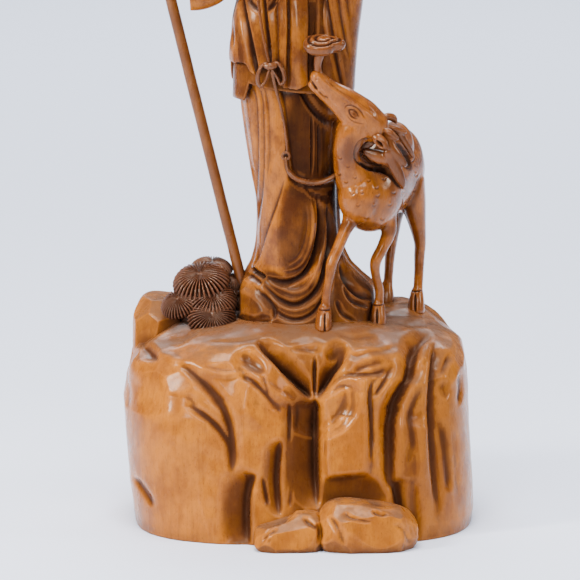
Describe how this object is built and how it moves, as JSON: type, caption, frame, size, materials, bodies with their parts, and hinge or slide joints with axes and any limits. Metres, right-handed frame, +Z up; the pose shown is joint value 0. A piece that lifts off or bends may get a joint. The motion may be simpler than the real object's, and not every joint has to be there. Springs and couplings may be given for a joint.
{
  "type": "boxwood immortal figure",
  "caption": "Carved boxwood immortal in long robes on a rugged rock base, holding a tall staff, with a deer that carries a lingzhi and pine tufts beside the hem.",
  "frame": {"origin": "middle of the rock base on its underside, on the surface it stands on", "axes": "+Z up, -Y towards the viewer in front, +X to the viewer's right"},
  "size_m": [0.2032, 0.1887, 0.4569],
  "materials": {
    "boxwood": "carved and waxed boxwood, honey brown and darker in the cuts",
    "staff_wood": "turned and waxed boxwood rod"
  },
  "bodies": {
    "root": {"carving": "boxwood", "staff": "staff_wood"}
  },
  "joints": []
}
